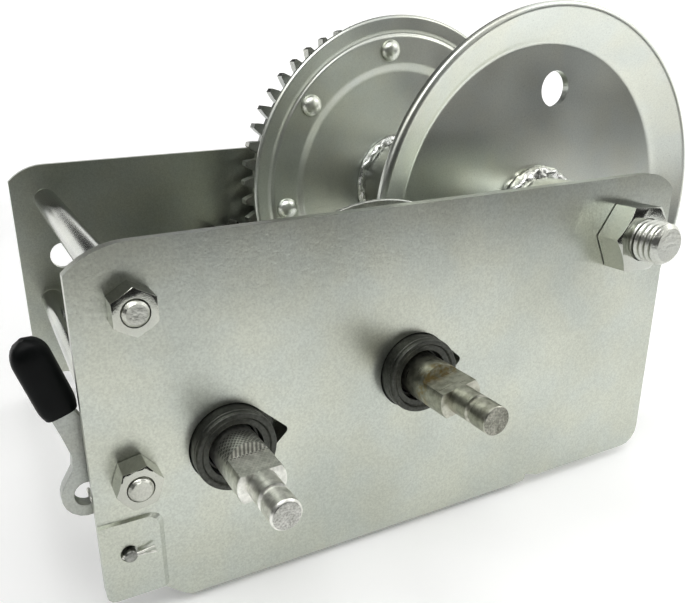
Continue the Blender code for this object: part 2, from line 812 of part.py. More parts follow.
def build_bushings(axis, name, material):
    """A flanged bushing in each side plate. Each is turned from bar and held by its collar."""
    collar = 17.0
    nose = FRONT - BUSHING_NOSE
    seat = FRONT + SHEET + FIT
    front = [
        (nose, 9.3),
        (nose, BUSHING_RADIUS - 0.5),
        (nose + 0.5, BUSHING_RADIUS),
        (seat, BUSHING_RADIUS),
        (seat, collar),
        (seat + 2.2, collar),
        (seat + 2.2, BUSHING_BORE),
        (FRONT - 1.0, BUSHING_BORE),
        (FRONT - 1.0, 9.3),
    ]
    finish_mesh(f"{name}_front_bushing", turned(axis, front, 32, hollow=True), material)
    seat = BACK - SHEET - FIT
    back = [
        (BACK + 0.8, BUSHING_BORE),
        (BACK + 0.8, BUSHING_RADIUS),
        (seat, BUSHING_RADIUS),
        (seat, collar),
        (seat - 1.6, collar),
        (seat - 1.6, BUSHING_BORE),
    ]
    finish_mesh(f"{name}_back_bushing", turned(axis, back, 24, hollow=True), material)


def build_retaining_ring(name, axis, material, parent):
    """The external snap ring in the groove at the shaft's back end."""
    near = BACK + SHAFT_END - 2.35
    inner = SHAFT_RADIUS - 0.9 + FIT
    gap = math.radians(16)
    outer_arc = arc_points(axis, SHAFT_RADIUS + 2.6, gap, 2 * math.pi - gap, 24)
    inner_arc = arc_points(axis, inner, 2 * math.pi - gap, gap, 24)
    finish_mesh(name, slab([outer_arc + inner_arc], near, near + 0.7), material, parent)


# ---------------------------------------------------------------- pawl


def horn_points(side):
    """One pawl horn at rest, as the shape that fills a ratchet gap when the lever is at its limit.

    Its corners are worked out with the horn in the gap 45 degrees round the wheel, then swung back.
    """
    line = pawl_line() + math.pi
    span = math.dist(LOWER_TIE, LOW_AXIS)
    points = []
    for across, reach in ((2.4, 20.6), (1.0, 15.2), (-1.0, 15.2), (-2.4, 20.6)):
        x = span - (reach - across) / math.sqrt(2)
        z = (reach + across) / math.sqrt(2)
        radius = math.hypot(x, z)
        angle = math.atan2(z, x) + PAWL_SWING
        points.append(polar(LOWER_TIE, radius, line + side * angle))
    return points


def grip_point(along, across):
    """A point of the grip: along its length from the foot, and across it to the left."""
    start = polar(GRIP_FOOT, along, GRIP_LEAN)
    return polar(start, across, GRIP_LEAN + math.pi / 2)


def build_pawl(zinc, vinyl, parent):
    """The lever that carries two pawl horns, one for each way of turning, and its grip."""
    line = pawl_line() + math.pi
    crotch = polar(LOWER_TIE, 10.6, line)
    boss = arc_points(SPRING_EYE, 7.8, math.radians(285), math.radians(150), 8)
    heel = arc_points(LOWER_TIE, 10.5, math.radians(285), math.radians(250), 4)
    outline = (
        [crotch]
        + list(reversed(horn_points(-1)))
        + [polar(LOWER_TIE, 20.5, line - math.radians(64))]
        + heel
        + boss
        + [(-121.9, 56.5), (-121.5, 61.0), (-123.7, 68.5)]
        + [grip_point(0, BLADE / 2), grip_point(BLADE_REACH, BLADE / 2)]
        + [grip_point(BLADE_REACH, -BLADE / 2), grip_point(0, -BLADE / 2)]
        + [(-115.0, 69.5), polar(LOWER_TIE, 12.5, math.radians(112))]
        + [polar(LOWER_TIE, 20.5, line + math.radians(64))]
        + horn_points(1)
    )
    holes = [circle_points(LOWER_TIE, PAWL_BORE, 24), circle_points(SPRING_EYE, 4.0, 18)]
    near = depth(PAWL_FACE)
    finish_mesh(
        "pawl_lever", slab([outline, *holes], near, near + PAWL_WIDTH), zinc, parent
    )
    build_grip(near, vinyl, parent)


def grip_outline(inset):
    """The grip's outline: a dipped sleeve with a round top and a square foot."""
    half = GRIP_WIDTH / 2 - inset
    centre = polar(GRIP_FOOT, GRIP_LENGTH - GRIP_WIDTH / 2, GRIP_LEAN)
    crown = arc_points(
        centre, half, GRIP_LEAN - math.pi / 2, GRIP_LEAN + math.pi / 2, 13
    )
    foot = [(inset + 1.6, half), (inset, half - 1.6), (inset, 1.6 - half), (inset + 1.6, -half)]
    return [*crown, *(grip_point(along, across) for along, across in foot)]


def build_grip(lever_near, material, parent):
    """The vinyl grip, hollow where the lever's blade runs into it."""
    rings = (
        (depth(GRIP_FRONT), 1.6),
        (depth(GRIP_FRONT) + 0.5, 0.6),
        (depth(GRIP_FRONT) + 1.6, 0.0),
        (depth(GRIP_BACK) - 1.6, 0.0),
        (depth(GRIP_BACK) - 0.5, 0.6),
        (depth(GRIP_BACK), 1.6),
    )
    shape = bmesh.new()
    loops = [
        [shape.verts.new((x, y, z)) for x, z in grip_outline(inset)] for y, inset in rings
    ]
    for first, second in zip(loops, loops[1:]):
        for k in range(len(first)):
            n = (k + 1) % len(first)
            shape.faces.new((first[k], first[n], second[n], second[k]))
    shape.faces.new(loops[0])
    shape.faces.new(loops[-1])
    grip = finish_mesh("lever_grip", shape, material, parent)
    half = BLADE / 2 + FIT
    corners = [(-4, half), (BLADE_REACH + FIT, half), (BLADE_REACH + FIT, -half), (-4, -half)]
    blade = [grip_point(along, across) for along, across in corners]
    pocket = slab([blade], lever_near - FIT, lever_near + PAWL_WIDTH + FIT)
    boolean(grip, helper("grip_pocket", pocket, parent), "DIFFERENCE")


def swept_wire(path, radius, sides):
    """A closed round wire along a list of points."""
    shape = bmesh.new()
    points = [Vector(point) for point in path]
    rings = []
    side = Vector((0, 1, 0))
    for k, point in enumerate(points):
        ahead = points[min(k + 1, len(points) - 1)]
        behind = points[max(k - 1, 0)]
        along = (ahead - behind).normalized()
        side = (side - along * side.dot(along)).normalized()
        other = along.cross(side)
        ring = []
        for corner in range(sides):
            angle = 2 * math.pi * corner / sides
            offset = side * math.cos(angle) + other * math.sin(angle)
            ring.append(shape.verts.new(point + offset * radius))
        rings.append(ring)
    for first, second in zip(rings, rings[1:]):
        for k in range(sides):
            n = (k + 1) % sides
            shape.faces.new((first[k], first[n], second[n], second[k]))
    shape.faces.new(rings[0])
    shape.faces.new(rings[-1])
    return shape


def build_pawl_spring(material):
    """The pawl's spring, its anchor pin through the front plate, and the pin's cotter."""
    middle = depth(PAWL_FACE + PAWL_WIDTH / 2)
    low = Vector((ANCHOR_PIN[0], middle, ANCHOR_PIN[1]))
    high = Vector((SPRING_EYE[0], middle, SPRING_EYE[1]))
    along = (high - low).normalized()
    across = along.cross(Vector((0, 1, 0)))
    start, end, turns = 4.4, 10.6, 4
    path = []
    for step in range(9):
        angle = math.radians(-20 + 25 * step)
        path.append(low - (across * math.cos(angle) + along * math.sin(angle)) * 3.2)
    for step in range(turns * 10 + 1):
        angle = 2 * math.pi * step / 10
        reach = start + (end - start) * step / (turns * 10)
        spoke = across * math.cos(angle) - Vector((0, 1, 0)) * math.sin(angle)
        path.append(low + along * reach + spoke * SPRING_COIL)
    front = Vector((0, -PAWL_WIDTH / 2 - 1.2, 0))
    path.append(low + along * (end + 0.8) + front)
    path.append(high + front - along * 1.6)
    path.append(high - along * 1.6)
    path.append(high - front - along * 1.6)
    path.append(high - front - along * 4.0)
    finish_mesh("pawl_spring", swept_wire(path, SPRING_WIRE, 6), material)
    pin_profile = [
        (FRONT - 3.4, 1.6),
        (FRONT - 2.9, 2.1),
        (depth(PAWL_FACE + PAWL_WIDTH + 2), 2.1),
        (depth(PAWL_FACE + PAWL_WIDTH + 2.6), 1.5),
    ]
    pin = finish_mesh("spring_anchor_pin", turned(ANCHOR_PIN, pin_profile, 16), material)
    eye = FRONT - 2.2
    cross_drill = [
        (ANCHOR_PIN[0] - 4, eye, ANCHOR_PIN[1]),
        (ANCHOR_PIN[0] + 4, eye, ANCHOR_PIN[1]),
    ]
    boolean(pin, helper("cotter_drill", swept_wire(cross_drill, 0.8, 10)), "DIFFERENCE")
    legs = [
        (ANCHOR_PIN[0] - 2.6, eye, ANCHOR_PIN[1]),
        (ANCHOR_PIN[0] + 3.4, eye, ANCHOR_PIN[1]),
        (ANCHOR_PIN[0] + 7.6, eye - 0.3, ANCHOR_PIN[1] - 0.5),
    ]
    finish_mesh("anchor_cotter", swept_wire(legs, 0.5, 8), material)


def clear_scene():
    for leftover in list(bpy.data.objects):
        bpy.data.objects.remove(leftover, do_unlink=True)


def axis_empty(name, centre):
    """An empty on a joint's axis, which carries the pieces that turn on it."""
    empty = bpy.data.objects.new(name, None)
    empty.location = (centre[0] * MM, 0, centre[1] * MM)
    bpy.context.scene.collection.objects.link(empty)
    return empty


def main():
    clear_scene()
    zinc = metal("zinc_plate", (0.60, 0.62, 0.57), 0.42)
    bright = metal("turned_steel", (0.62, 0.63, 0.60), 0.30)
    dark = metal("dark_steel", (0.06, 0.063, 0.055), 0.5)
    vinyl = metal("black_vinyl", (0.01, 0.012, 0.012), 0.45, metallic=0.0)
    reel = axis_empty("reel_axis", REEL_AXIS)
    high_shaft = axis_empty("high_axis", HIGH_AXIS)
    low_shaft = axis_empty("low_axis", LOW_AXIS)
    pawl = axis_empty("pawl_axis", LOWER_TIE)
    build_frame(zinc)
    build_bolts(zinc)
    build_reel(zinc, dark, reel)
    build_high_train(zinc, dark, reel, high_shaft)
    build_middle_train(zinc, dark, high_shaft, low_shaft)
    build_input_shaft("high_speed_shaft", HIGH_AXIS, math.radians(11.3), bright, high_shaft)
    build_input_shaft("low_speed_shaft", LOW_AXIS, math.radians(2.5), bright, low_shaft)
    build_bushings(HIGH_AXIS, "high_shaft", dark)
    build_bushings(LOW_AXIS, "low_shaft", dark)
    build_retaining_ring("high_shaft_ring", HIGH_AXIS, dark, high_shaft)
    build_retaining_ring("low_shaft_ring", LOW_AXIS, dark, low_shaft)
    build_pawl(zinc, vinyl, pawl)
    build_pawl_spring(bright)


main()
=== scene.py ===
"""The looks of a two-speed boat trailer winch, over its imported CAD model.

Lengths in the constants are in millimetres, and a depth runs along Y, unless a comment says
otherwise.
"""

import math

import bmesh
import bpy
from mathutils import Matrix, Vector, noise

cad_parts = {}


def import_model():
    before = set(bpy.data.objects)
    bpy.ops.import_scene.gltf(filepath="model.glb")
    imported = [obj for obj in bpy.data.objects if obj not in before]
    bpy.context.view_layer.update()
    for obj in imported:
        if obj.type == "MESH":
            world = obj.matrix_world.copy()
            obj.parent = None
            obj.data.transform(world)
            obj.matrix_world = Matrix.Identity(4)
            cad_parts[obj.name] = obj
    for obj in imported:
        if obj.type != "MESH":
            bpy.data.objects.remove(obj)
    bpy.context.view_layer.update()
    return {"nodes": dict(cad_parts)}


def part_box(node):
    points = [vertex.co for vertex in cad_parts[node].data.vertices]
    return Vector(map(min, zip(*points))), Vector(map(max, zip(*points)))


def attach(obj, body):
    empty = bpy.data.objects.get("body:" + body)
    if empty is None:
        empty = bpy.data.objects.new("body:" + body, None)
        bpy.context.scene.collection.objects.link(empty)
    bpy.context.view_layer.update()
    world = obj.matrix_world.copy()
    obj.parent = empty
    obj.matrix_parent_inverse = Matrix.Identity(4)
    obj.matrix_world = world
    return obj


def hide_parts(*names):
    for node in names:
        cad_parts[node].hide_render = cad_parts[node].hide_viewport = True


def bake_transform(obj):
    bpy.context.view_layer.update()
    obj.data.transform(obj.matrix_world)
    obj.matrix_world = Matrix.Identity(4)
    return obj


MM = 0.001
HALF_TURN = math.pi
QUARTER_TURN = math.pi / 2

# The camera: where it is, which way it looks in degrees, and its lens
CAMERA_PLACE = (-136.9, -280.6, 170.8)
CAMERA_AZIMUTH = 24.14
CAMERA_ELEVATION = 18.91
CAMERA_ROLL = -1.86
CAMERA_LENS = 35.83
CAMERA_SHIFT = 0.0931

# The studio, in metres: the floor, the boards (name, low corner, high corner), and the
# lights (name, place, size, watts)
STUDIO_CENTRE = (0.0, 0.0, 0.08)
FLOOR_REACH = 5
FLOOR_SHADE = 0.92
FLOOR_GLOW = 0.16
BOARD_SHADE = 0.03
BOARDS = (
    ("front_board", (-1.2, -0.5, 0.0), (1.2, -0.5, 0.55)),
    ("back_board", (-1.2, 1.0, 0.33), (1.6, 1.0, 1.3)),
    ("left_board", (-1.2, -0.5, 0.1), (-1.2, 0.9, 0.8)),
    ("roof_board", (-0.5, -0.2, 0.95), (0.5, 0.9, 0.95)),
)
LIGHTS = (
    ("key", (-0.3, -0.8, 1.3), (0.9, 0.7), 7),
    ("fill", (0.9, -0.7, 0.6), (0.5, 0.5), 3),
    ("top", (0.2, 0.3, 1.3), (0.6, 0.6), 5),
)
ROOM_COLOUR = (1.0, 1.0, 0.985, 1.0)
ROOM_STRENGTH = 1.2

# Bolts: threads are 5/16-18 on the tie bolts and 5/8-11 on the reel's axle bolt. The tip's
# chamfer is a share of the radius
TIE_RADIUS = 3.97
TIE_FLATS = 12.7
AXLE_RADIUS = 7.94
AXLE_FLATS = 24.2
TIP_CHAMFER = 0.14
TIE_PITCH = 25.4 / 18
AXLE_PITCH = 25.4 / 11
TIE_HEAD = 5.3
AXLE_HEAD = 10.0
THREAD_LENGTH = 22.0

# Reel: the strap hole is its place from the axle and its radius, with a ring of edges each
# side of it. The rivet's dome is angles in degrees from its rim
CLEARANCE = 0.3
TURNED_STEPS = 160
FLANGE_SHEET = 3.0
FRONT_DISC_RADIUS = 72.3
FRONT_DISC_DROP = 8.2
BACK_STEP = 1.4
BACK_DISC = 62.0
BACK_RING = (66.0, 80.0)
STRAP_HOLE = (5.6, 53.6, 7.5)
HOLE_RING = (45.0, 63.0)
HUB_RADIUS = 17.0
HUB_BORE = 14.5
DRUM_RADIUS = 24.0
WELD_STEPS = 8
WELD_BULGE = 0.12
RIVET_HEAD = 3.6
RIVET_SHANK = 3.2
RIVET_DOME = (88, 78, 66, 54, 42, 30, 18, 8)

# Input shafts, in depths in front of the side plate, which a pressed pad stands proud of.
# The retaining ring's groove is its start and end from the shaft's back, and its depth
PAD_RISE = 1.2
SHOULDER = 25.8
LEDGE = 15.0
GROOVE = 34.5
GROOVE_WIDTH = 2.0
PIN_RADIUS = 4.9
FLAT_OFFSET = 4.5
SHOULDER_ROUND = 0.5
RING_GROOVE = (2.6, 1.4, 0.9)
HIGH_FLAT_TURN = math.radians(11.3)
LOW_FLAT_TURN = math.radians(2.5)
BUSHING_RADIUS = 13.6
BUSHING_BORE = 8.3
BUSHING_MOUTH = 9.2
BUSHING_MOUTH_DEPTH = 5.0

# Pawl: its grip, its spring and its cotter
GRIP_FOOT = (-122.6, 75.9)
GRIP_LEAN = math.radians(107.6)
GRIP_LENGTH = 25.5
GRIP_HALF = 5.8
GRIP_SQUARENESS = 0.62
SPRING_EYE = (-118.5, 47.2)
SPRING_WIRE = 0.6
SPRING_COIL = 2.6
SPRING_TURNS = 6
HOOK_RADIUS = 3.1
COTTER_WIRE = 0.42

# Shaft finishes in metres: each knurl's two depths and groove painted shade, its lowest and
# highest height, its wave scale, the depths of the brown grease, and the depth of the sawn tips
ROUND_KNURL = (-0.1134, -0.1040, 0.62)
FLAT_KNURL = (-0.1236, -0.1139, 0.12)
KNURL_LOW = 0.0603
KNURL_HIGH = 0.08
KNURL_SCALE = 300.0
GREASE = (-0.1145, -0.1095)
SHAFT_TIP = -0.13925


# ---------------------------------------------------------------- materials


def new_material(name):
    material = bpy.data.materials.new(name)
    material.use_nodes = True
    return material, material.node_tree, material.node_tree.nodes["Principled BSDF"]


def add_node(tree, kind, **values):
    """A node with its input sockets, or its own properties, set by name."""
    node = tree.nodes.new(kind)
    for name, value in values.items():
        socket = name.replace("_", " ").title()
        if socket in node.inputs:
            node.inputs[socket].default_value = value
        else:
            setattr(node, name, value)
    return node


def ramp(tree, source, stops):
    """A colour ramp from a list of (position, grey or colour)."""
    node = tree.nodes.new("ShaderNodeValToRGB")
    elements = node.color_ramp.elements
    while len(elements) < len(stops):
        elements.new(0.5)
    for element, (position, colour) in zip(elements, stops):
        element.position = position
        if not isinstance(colour, tuple):
            colour = (colour, colour, colour)
        element.color = (*colour, 1.0)
    tree.links.new(source, node.inputs["Fac"])
    return node.outputs["Color"]


def place(tree, scale=(1, 1, 1)):
    """Object coordinates in metres, stretched along each axis."""
    coordinates = tree.nodes.new("ShaderNodeTexCoord")
    mapping = tree.nodes.new("ShaderNodeMapping")
    mapping.inputs["Scale"].default_value = scale
    tree.links.new(coordinates.outputs["Object"], mapping.inputs["Vector"])
    return mapping.outputs["Vector"]


def noise_at(tree, scale, detail=4.0, stretch=(1, 1, 1), roughness=0.55):
    """Noise with about scale lumps to the metre, from 0 to 1."""
    node = add_node(
        tree, "ShaderNodeTexNoise", scale=scale, detail=detail, roughness=roughness
    )
    tree.links.new(place(tree, stretch), node.inputs["Vector"])
    return node.outputs["Fac"]


def mix(tree, kind, factor, first, second):
    """A colour mix of two sockets or colours."""
    node = tree.nodes.new("ShaderNodeMix")
    node.data_type = "RGBA"
    node.blend_type = kind
    for socket, value in ((0, factor), (6, first), (7, second)):
        if isinstance(value, bpy.types.NodeSocket):
            tree.links.new(value, node.inputs[socket])
        else:
            node.inputs[socket].default_value = value
    return node.outputs[2]


def math_node(tree, operation, first, second=0.0):
    node = tree.nodes.new("ShaderNodeMath")
    node.operation = operation
    for socket, value in enumerate((first, second)):
        if isinstance(value, bpy.types.NodeSocket):
            tree.links.new(value, node.inputs[socket])
        else:
            node.inputs[socket].default_value = value
    return node.outputs[0]


def bump(tree, shader, height, strength, distance):
    node = add_node(tree, "ShaderNodeBump", strength=strength, distance=distance)
    tree.links.new(height, node.inputs["Height"])
    tree.links.new(node.outputs["Normal"], shader.inputs["Normal"])


def band(tree, axis, low, high, soft):
    """1 between two places along an axis of the object, falling to 0 over soft."""
    split = tree.nodes.new("ShaderNodeSeparateXYZ")
    tree.links.new(place(tree), split.inputs["Vector"])
    masks = []
    for start, end in ((low - soft, low + soft), (high + soft, high - soft)):
        node = add_node(tree, "ShaderNodeMapRange")
        node.inputs["From Min"].default_value = start
        node.inputs["From Max"].default_value = end
        tree.links.new(split.outputs[axis], node.inputs["Value"])
        masks.append(node.outputs["Result"])
    return math_node(tree, "MULTIPLY", masks[0], masks[1])


def zinc(name, light, dark, roughness, grain=0.06, peel=1.0):
    """Satin zinc plating: soft warm and cool clouds, a fine orange peel and small pits."""
    material, tree, shader = new_material(name)
    clouds = ramp(tree, noise_at(tree, 17, 2), [(0.36, dark), (0.64, light)])
    tints = ramp(
        tree, noise_at(tree, 42, 2), [(0.4, (0.97, 0.985, 1.0)), (0.6, (1.0, 0.995, 0.97))]
    )
    colour = mix(tree, "MULTIPLY", 1.0, clouds, tints)
    specks = ramp(tree, noise_at(tree, 1300, 2), [(0.27, 0.62), (0.37, 1.0)])
    colour = mix(tree, "MULTIPLY", 0.45, colour, specks)
    skin = ramp(tree, noise_at(tree, 1500, 2), [(0.36, 1.0 - 0.15 * peel), (0.64, 1.0)])
    colour = mix(tree, "MULTIPLY", 1.0, colour, skin)
    tree.links.new(colour, shader.inputs["Base Color"])
    rough = ramp(
        tree, noise_at(tree, 30, 1), [(0.3, roughness - 0.02), (0.7, roughness + 0.03)]
    )
    tree.links.new(rough, shader.inputs["Roughness"])
    shader.inputs["Metallic"].default_value = 1.0
    fine = noise_at(tree, 2100, 1)
    ripple = math_node(tree, "MULTIPLY", noise_at(tree, 620, 1), 1.6 * peel)
    bump(tree, shader, math_node(tree, "ADD", fine, ripple), grain * 3, 0.00012)
    return material


def hatching(tree, low, high):
    """A shaft's knurled top: bright crossed lines, and where between two depths they lie."""
    waves = []
    for turn in (0.66, -0.66):
        coordinates = tree.nodes.new("ShaderNodeTexCoord")
        mapping = tree.nodes.new("ShaderNodeMapping")
        mapping.inputs["Rotation"].default_value = (0.0, 0.0, turn)
        tree.links.new(coordinates.outputs["Object"], mapping.inputs["Vector"])
        wave = add_node(tree, "ShaderNodeTexWave", scale=KNURL_SCALE, distortion=0.5)
        tree.links.new(mapping.outputs["Vector"], wave.inputs["Vector"])
        waves.append(wave.outputs["Fac"])
    crossed = math_node(tree, "MAXIMUM", *waves)
    lines = ramp(tree, crossed, [(0.62, 0.0), (0.93, 1.0)])
    above = band(tree, "Z", KNURL_LOW, KNURL_HIGH, 0.0007)
    where = math_node(tree, "MULTIPLY", band(tree, "Y", low, high, 0.0004), above)
    return lines, where


def steel(name, light, dark, roughness, turning=0.3, stain=None, knurls=(), tip=None):
    """Bare turned steel with fine rings round its axis, a brown stain and knurled bands.

    Each knurled band is its two depths and how dark the painted shade in its grooves is, from
    0 to 1. A tip is the depth of the sawn, duller face at a shaft's end.
    """
    material, tree, shader = new_material(name)
    rings = noise_at(tree, 1.0, 4, (120, 2400, 120))
    clouds = ramp(tree, noise_at(tree, 420, 5), [(0.38, dark), (0.6, light)])
    streaks = ramp(tree, rings, [(0.35, 0.82), (0.6, 1.0)])
    colour = mix(tree, "MULTIPLY", 0.6, clouds, streaks)
    if stain:
        low, high = stain
        patches = ramp(tree, noise_at(tree, 520, 4), [(0.44, 0.0), (0.58, 1.0)])
        grease = math_node(tree, "MULTIPLY", band(tree, "Y", low, high, 0.0012), patches)
        colour = mix(tree, "MIX", math_node(tree, "MULTIPLY", grease, 0.75), colour,
                     (0.30, 0.23, 0.10, 1.0))
    if tip:
        sawn = ramp(tree, noise_at(tree, 1500, 3), [(0.35, 0.38), (0.65, 0.72)])
        colour = mix(tree, "MULTIPLY", band(tree, "Y", tip - 0.01, tip, 0.00005), colour, sawn)
    height = math_node(tree, "MULTIPLY", rings, 0.25)
    for low, high, darkness in knurls:
        lines, where = hatching(tree, low, high)
        grooves = math_node(tree, "SUBTRACT", 1.0, lines)
        # The grooves between the knurl's lines are painted near black: painted shade in the
        # grooves
        shade = math_node(tree, "MULTIPLY", math_node(tree, "MULTIPLY", grooves, where), darkness)
        colour = mix(tree, "MIX", shade, colour, (0.045, 0.045, 0.04, 1.0))
        rise = math_node(tree, "MULTIPLY", lines, where)
        height = math_node(tree, "ADD", height, math_node(tree, "MULTIPLY", rise, darkness))
    tree.links.new(colour, shader.inputs["Base Color"])
    rough = ramp(tree, rings, [(0.3, roughness - 0.04), (0.7, roughness + 0.08)])
    tree.links.new(rough, shader.inputs["Roughness"])
    shader.inputs["Metallic"].default_value = 1.0
    bump(tree, shader, height, turning, 0.00018)
    return material


def sintered(name):
    """Dark oiled steel with a fine, slightly lighter grain."""
    material, tree, shader = new_material(name)
    grain = noise_at(tree, 900, 4)
    colour = ramp(tree, grain, [(0.35, (0.042, 0.044, 0.038)), (0.7, (0.085, 0.088, 0.077))])
    tree.links.new(colour, shader.inputs["Base Color"])
    rough = ramp(tree, noise_at(tree, 200, 4), [(0.3, 0.34), (0.7, 0.42)])
    tree.links.new(rough, shader.inputs["Roughness"])
    shader.inputs["Metallic"].default_value = 0.85
    bump(tree, shader, grain, 0.25, 0.00008)
    return material


def vinyl():
    """Black dipped vinyl with an uneven sheen."""
    material, tree, shader = new_material("black_vinyl_dip")
    cloud = noise_at(tree, 90, 4)
    colour = ramp(tree, cloud, [(0.3, (0.002, 0.0025, 0.0025)), (0.75, (0.005, 0.006, 0.006))])
    tree.links.new(colour, shader.inputs["Base Color"])
    rough = ramp(tree, cloud, [(0.3, 0.36), (0.7, 0.5)])
    tree.links.new(rough, shader.inputs["Roughness"])
    shader.inputs["Specular IOR Level"].default_value = 0.1
    bump(tree, shader, noise_at(tree, 700, 3), 0.12, 0.0002)
    return material


def make_materials():
    """Every finish by its short name."""
    return {
        "plate": zinc("zinc_plate", (0.61, 0.635, 0.565), (0.53, 0.555, 0.495), 0.31, grain=0.05),
        "lever": zinc("zinc_lever", (0.50, 0.515, 0.47), (0.40, 0.41, 0.38), 0.38, grain=0.12),
        "reel": zinc("zinc_reel", (0.82, 0.845, 0.77), (0.71, 0.735, 0.67), 0.31, grain=0.04,
                     peel=0.6),
        # The back flange is the same zinc as the front one, painted darker for the light that
        # falls on it: painted shade
        "back_reel": zinc("zinc_back_flange_painted_shade", (0.68, 0.70, 0.635), (0.55, 0.57, 0.52), 0.31,
                          grain=0.04, peel=0.6),
        "drum": zinc("zinc_drum", (0.46, 0.475, 0.43), (0.38, 0.39, 0.355), 0.33, peel=0.6),
        "gear": zinc("zinc_gear", (0.66, 0.67, 0.62), (0.46, 0.47, 0.44), 0.34, grain=0.1),
        "nut": zinc("zinc_nut", (0.54, 0.555, 0.505), (0.42, 0.43, 0.395), 0.14, grain=0.04,
                    peel=0.3),
        "bolt": zinc("zinc_bolt", (0.66, 0.67, 0.62), (0.40, 0.41, 0.37), 0.3, grain=0.2),
        "weld": zinc("weld_bead", (0.86, 0.86, 0.82), (0.50, 0.51, 0.48), 0.24, grain=0.2),
        "steel": steel(
            "turned_steel", (0.92, 0.92, 0.86), (0.66, 0.665, 0.61), 0.33,
            knurls=(ROUND_KNURL, FLAT_KNURL), tip=SHAFT_TIP,
        ),
        "stained": steel(
            "turned_steel_greased", (0.54, 0.54, 0.46), (0.34, 0.34, 0.28), 0.3,
            stain=GREASE, tip=SHAFT_TIP,
        ),
        # The anchor pin's steel is painted darker than the shafts': painted shade for the hole
        # its end sits in
        "pin": steel("pin_steel_painted_shade", (0.34, 0.345, 0.32), (0.16, 0.165, 0.15), 0.3),
        "dark": sintered("dark_steel"),
        "vinyl": vinyl(),
    }


# ---------------------------------------------------------------- shapes


def put(name, shape, material, body, replaced, crease=35):
    """Makes a piece from a bmesh in metres, gives it its finish and rides it on a body."""
    bmesh.ops.recalc_face_normals(shape, faces=shape.faces)
    mesh = bpy.data.meshes.new(name)
    shape.to_mesh(mesh)
    shape.free()
    mesh.materials.append(material)
    mesh.shade_smooth()
    sharpen(mesh, crease)
    piece = bpy.data.objects.new(name, mesh)
    bpy.context.scene.collection.objects.link(piece)
    weigh_normals(piece)
    if replaced:
        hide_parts(*replaced)
    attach(piece, body)
    return piece


def sharpen(mesh, crease):
    """Marks the edges steeper than crease as sharp, and the rims of flat end caps."""
    mesh.set_sharp_from_angle(angle=math.radians(crease))
    rims = {key for face in mesh.polygons if len(face.vertices) > 6 for key in face.edge_keys}
    for edge in mesh.edges:
        if edge.key in rims:
            edge.use_edge_sharp = True


def weigh_normals(piece):
    """Lets large faces set the shading, so that flat faces beside a fillet look flat."""
    modifier = piece.modifiers.new("normals", "WEIGHTED_NORMAL")
    modifier.keep_sharp = True
    modifier.weight = 80


def soften(piece, width):
    """Rounds a piece's edges, and keeps its flat faces flat."""
    modifier = piece.modifiers.new("edges", "BEVEL")
    modifier.width = width * MM
    modifier.segments = 3
    modifier.limit_method = "ANGLE"
    modifier.angle_limit = math.radians(34)
    modifier.use_clamp_overlap = True
    modifier.harden_normals = True


def axis_of(node):
    """A turned node's centre (x, z), its two depths and its radius, from its box."""
    low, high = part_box(node)
    centre = ((low[0] + high[0]) / 2, (low[2] + high[2]) / 2)
    return centre, low[1], high[1], (high[0] - low[0]) / 2


def join_rings(shape, rings, hollow=False):
    """Skins over rings of points, with a cap at each end or, if hollow, the ends joined."""
    pairs = list(zip(rings, rings[1:]))
    if hollow:
        pairs.append((rings[-1], rings[0]))
    else:
        shape.faces.new(rings[0])
        shape.faces.new(rings[-1])
    for first, second in pairs:
        for k in range(len(first)):
            n = (k + 1) % len(first)
            shape.faces.new((first[k], first[n], second[n], second[k]))


def turned(centre, profile, segments, hollow=False, wobble=None):
    """A bmesh turned about an axis along Y. wobble(angle, step) moves a point along (y, r)."""
    shape = bmesh.new()
    rings = []
    for step, (y, radius) in enumerate(profile):
        ring = []
        for k in range(segments):
            angle = 2 * math.pi * k / segments
            shift = wobble(angle, step) if wobble else (0.0, 0.0)
            r = radius + shift[1]
            x = centre[0] + r * math.cos(angle)
            z = centre[1] + r * math.sin(angle)
            ring.append(shape.verts.new((x, y + shift[0], z)))
        rings.append(ring)
    join_rings(shape, rings, hollow)
    return shape


def rounded(profile, radius, steps=4):
    """A closed (y, r) profile with each corner rounded."""
    points = []
    count = len(profile)
    for k in range(count):
        corner = Vector(profile[k])
        before = Vector(profile[k - 1]) - corner
        after = Vector(profile[(k + 1) % count]) - corner
        reach = min(radius, before.length * 0.45, after.length * 0.45)
        start = corner + before.normalized() * reach
        end = corner + after.normalized() * reach
        for step in range(steps + 1):
            t = step / steps
            point = start * (1 - t) ** 2 + corner * 2 * t * (1 - t) + end * t ** 2
            points.append((point.x, point.y))
    return points


def tube_piece(node, bore, material, body, rounding=0.5, segments=72):
    """A smooth tube in a CAD tube's place."""
    centre, near, far, radius = axis_of(node)
    loop = [(near, bore * MM), (near, radius), (far, radius), (far, bore * MM)]
    shape = turned(centre, rounded(loop, rounding * MM, 3), segments, hollow=True)
    return put(f"{node}_turned", shape, material, body, [node])


def cut(piece, cutter_shape):
    """Takes a cutter's shape from a piece for good."""
    mesh = bpy.data.meshes.new("cutter")
    bmesh.ops.recalc_face_normals(cutter_shape, faces=cutter_shape.faces)
    cutter_shape.to_mesh(mesh)
    cutter_shape.free()
    cutter = bpy.data.objects.new("cutter", mesh)
    bpy.context.scene.collection.objects.link(cutter)
    modifier = piece.modifiers.new("cut", "BOOLEAN")
    modifier.operation = "DIFFERENCE"
    modifier.object = cutter
    modifier.solver = "EXACT"
    piece.modifiers.move(len(piece.modifiers) - 1, 0)
    graph = bpy.context.evaluated_depsgraph_get()
    kept = [m for m in piece.modifiers if m.type != "BOOLEAN"]
    for other in kept:
        other.show_viewport = False
    graph.update()
    result = bpy.data.meshes.new_from_object(piece.evaluated_get(graph))
    piece.modifiers.remove(modifier)
    for other in kept:
        other.show_viewport = True
    piece.data = result
    bpy.data.objects.remove(cutter)


# ---------------------------------------------------------------- pieces


